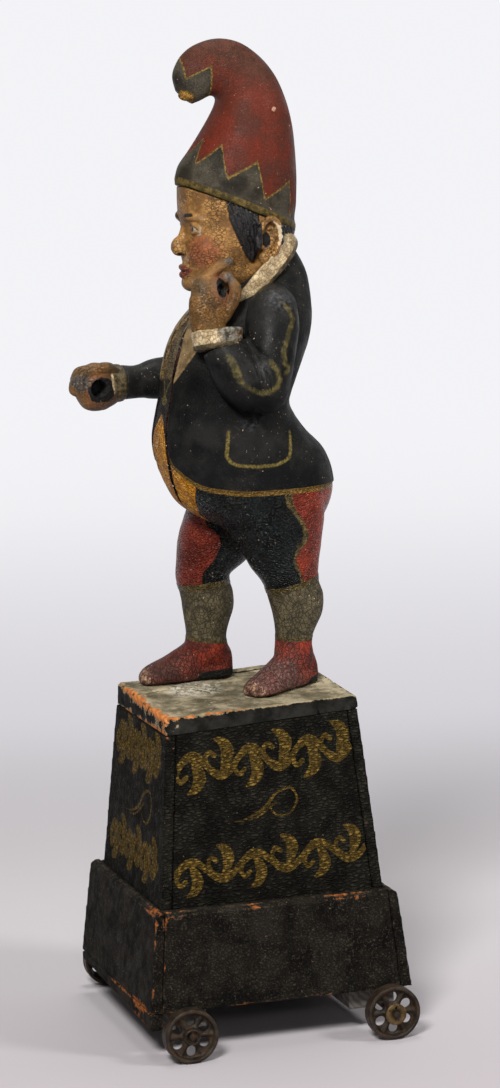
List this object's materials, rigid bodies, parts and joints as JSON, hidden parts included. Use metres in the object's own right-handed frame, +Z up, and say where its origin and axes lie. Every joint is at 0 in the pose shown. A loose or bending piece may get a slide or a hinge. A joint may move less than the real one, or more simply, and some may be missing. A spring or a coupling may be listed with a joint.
{
  "type": "cigar store figure",
  "caption": "Carved and painted pine shop figure in a tall curled cap, one hand raised and one held out, on a tapered box that rolls on cast iron wheels",
  "frame": {"origin": "on the floor, under the middle of the object's bounding box", "axes": "+Z up, the figure faces -Y and its left side, the side nearest the viewer in the picture, is +X"},
  "size_m": [0.5456, 0.4578, 1.6141],
  "materials": {
    "box_paint": "black oil paint over pine, crackled, satin, with worn ochre ornament",
    "skirt_paint": "brownish black oil paint over pine, dull, chipped at its edges",
    "deck_paint": "olive grey paint over pine, worn and chipped to pale ground",
    "bare_pine": "bare aged pine",
    "coat_paint": "blue-black oil paint over carved pine, satin, finely crazed",
    "breeches_paint": "red and blue-green black oil paint over carved pine, stockings in olive grey",
    "shoe_paint": "brick red oil paint over carved pine, worn at the toe",
    "flesh_paint": "tan flesh oil paint over carved pine, heavily crackled under varnish",
    "cap_paint": "brick red oil paint over carved pine with a dark toothed band edged in ochre",
    "cream_paint": "cream ground and paint over carved pine, flaked",
    "rusty_iron": "brown rusted cast iron",
    "old_brass": "tarnished brass"
  },
  "bodies": {
    "base": {"top_board": "deck_paint", "box_front_board": "box_paint", "box_rear_board": "box_paint", "box_left_board": "box_paint", "box_right_board": "box_paint", "skirt_front_board": "skirt_paint", "skirt_rear_board": "skirt_paint", "skirt_left_board": "skirt_paint", "skirt_right_board": "skirt_paint", "front_strip": "skirt_paint", "front_bearer": "bare_pine", "rear_bearer": "bare_pine", "front_axle": "rusty_iron", "rear_axle": "rusty_iron", "rear_left_washer": "old_brass", "rear_right_washer": "old_brass", "torso_block": "coat_paint", "head_block": "flesh_paint", "cap_block": "cap_paint", "cap_curl_block": "cap_paint", "neck_dowel": "bare_pine", "cap_dowel": "bare_pine", "cap_curl_dowel": "bare_pine", "front_left_corner_post": "bare_pine", "front_left_split_pin": "rusty_iron", "front_right_corner_post": "bare_pine", "front_right_split_pin": "rusty_iron", "rear_left_corner_post": "bare_pine", "rear_left_split_pin": "rusty_iron", "rear_right_corner_post": "bare_pine", "rear_right_split_pin": "rusty_iron", "left_leg": "breeches_paint", "left_toe_block": "shoe_paint", "left_upper_arm": "coat_paint", "left_forearm": "coat_paint", "left_hand": "flesh_paint", "left_foot_screw": "rusty_iron", "left_toe_dowel": "bare_pine", "left_hip_dowel": "bare_pine", "left_shoulder_dowel": "bare_pine", "left_elbow_dowel": "bare_pine", "left_wrist_dowel": "bare_pine", "right_leg": "breeches_paint", "right_toe_block": "shoe_paint", "right_upper_arm": "coat_paint", "right_forearm": "coat_paint", "right_hand": "flesh_paint", "right_foot_screw": "rusty_iron", "right_toe_dowel": "bare_pine", "right_hip_dowel": "bare_pine", "right_shoulder_dowel": "bare_pine", "right_elbow_dowel": "bare_pine", "right_wrist_dowel": "bare_pine"},
    "front_left_wheel": {"front_left_wheel": "rusty_iron"},
    "front_right_wheel": {"front_right_wheel": "rusty_iron"},
    "rear_left_wheel": {"rear_left_wheel": "rusty_iron"},
    "rear_right_wheel": {"rear_right_wheel": "rusty_iron"}
  },
  "joints": [
    {"name": "front_left_wheel_spin", "type": "hinge", "parent": "base", "child": "front_left_wheel", "pos_m": [0.24745, -0.15991, 0.04445], "axis": [1, 0, 0], "continuous": true},
    {"name": "front_right_wheel_spin", "type": "hinge", "parent": "base", "child": "front_right_wheel", "pos_m": [-0.24745, -0.15991, 0.04445], "axis": [1, 0, 0], "continuous": true},
    {"name": "rear_left_wheel_spin", "type": "hinge", "parent": "base", "child": "rear_left_wheel", "pos_m": [0.24745, 0.18229, 0.04445], "axis": [1, 0, 0], "continuous": true},
    {"name": "rear_right_wheel_spin", "type": "hinge", "parent": "base", "child": "rear_right_wheel", "pos_m": [-0.24745, 0.18229, 0.04445], "axis": [1, 0, 0], "continuous": true}
  ]
}
